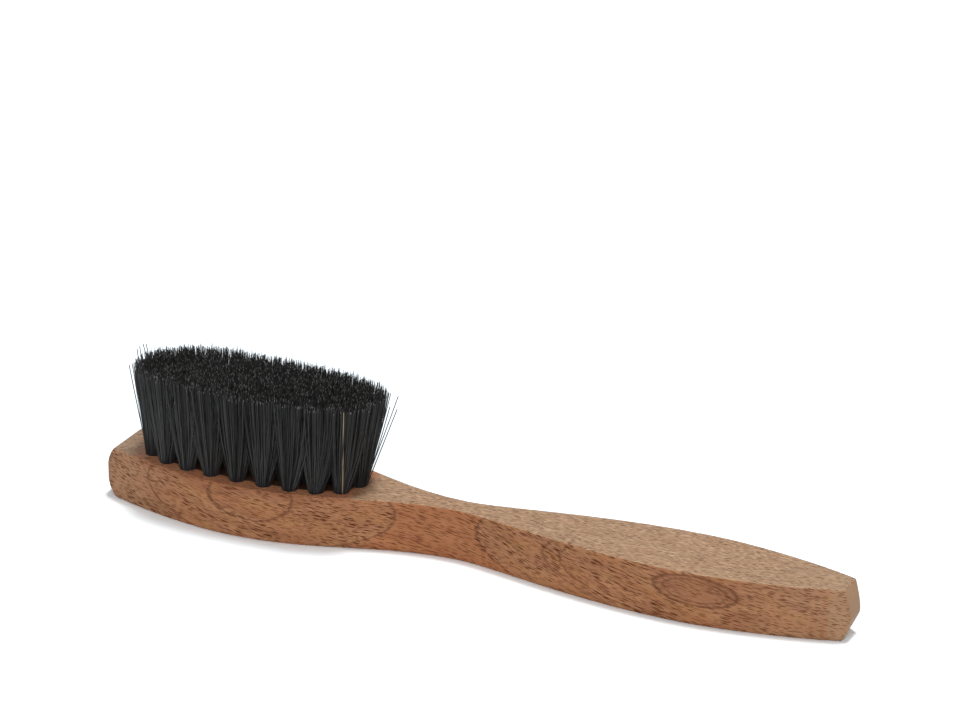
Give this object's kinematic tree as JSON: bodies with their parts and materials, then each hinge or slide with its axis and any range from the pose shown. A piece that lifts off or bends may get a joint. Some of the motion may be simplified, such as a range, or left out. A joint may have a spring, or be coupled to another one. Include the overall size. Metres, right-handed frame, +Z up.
{
  "type": "shoe polish applicator brush",
  "caption": "Shoe polish applicator brush: a flat waisted hardwood board with a slim grip and a head of dark bristle tufts standing in drilled blind holes.",
  "frame": {"origin": "middle of the flat back of the board, on the surface that the brush lies on", "axes": "+X along the board from the bristle head to the grip end, +Y across the board, +Z up out of the bristle face"},
  "size_m": [0.1912, 0.0284, 0.0353],
  "materials": {
    "wood": "matt oiled hardwood with open dark pores",
    "bristle": "black natural hair with a slight sheen"
  },
  "bodies": {
    "root": {"board": "wood", "tuft_01": "bristle", "tuft_02": "bristle", "tuft_03": "bristle", "tuft_04": "bristle", "tuft_05": "bristle", "tuft_06": "bristle", "tuft_07": "bristle", "tuft_08": "bristle", "tuft_09": "bristle", "tuft_10": "bristle", "tuft_11": "bristle", "tuft_12": "bristle", "tuft_13": "bristle", "tuft_14": "bristle", "tuft_15": "bristle", "tuft_16": "bristle", "tuft_17": "bristle", "tuft_18": "bristle", "tuft_19": "bristle", "tuft_20": "bristle", "tuft_21": "bristle", "tuft_22": "bristle", "tuft_23": "bristle", "tuft_24": "bristle", "tuft_25": "bristle", "tuft_26": "bristle", "tuft_27": "bristle", "tuft_28": "bristle", "tuft_29": "bristle", "tuft_30": "bristle", "tuft_31": "bristle", "tuft_32": "bristle", "tuft_33": "bristle", "tuft_34": "bristle", "tuft_35": "bristle", "tuft_36": "bristle", "tuft_37": "bristle", "tuft_38": "bristle", "tuft_39": "bristle"}
  },
  "joints": []
}
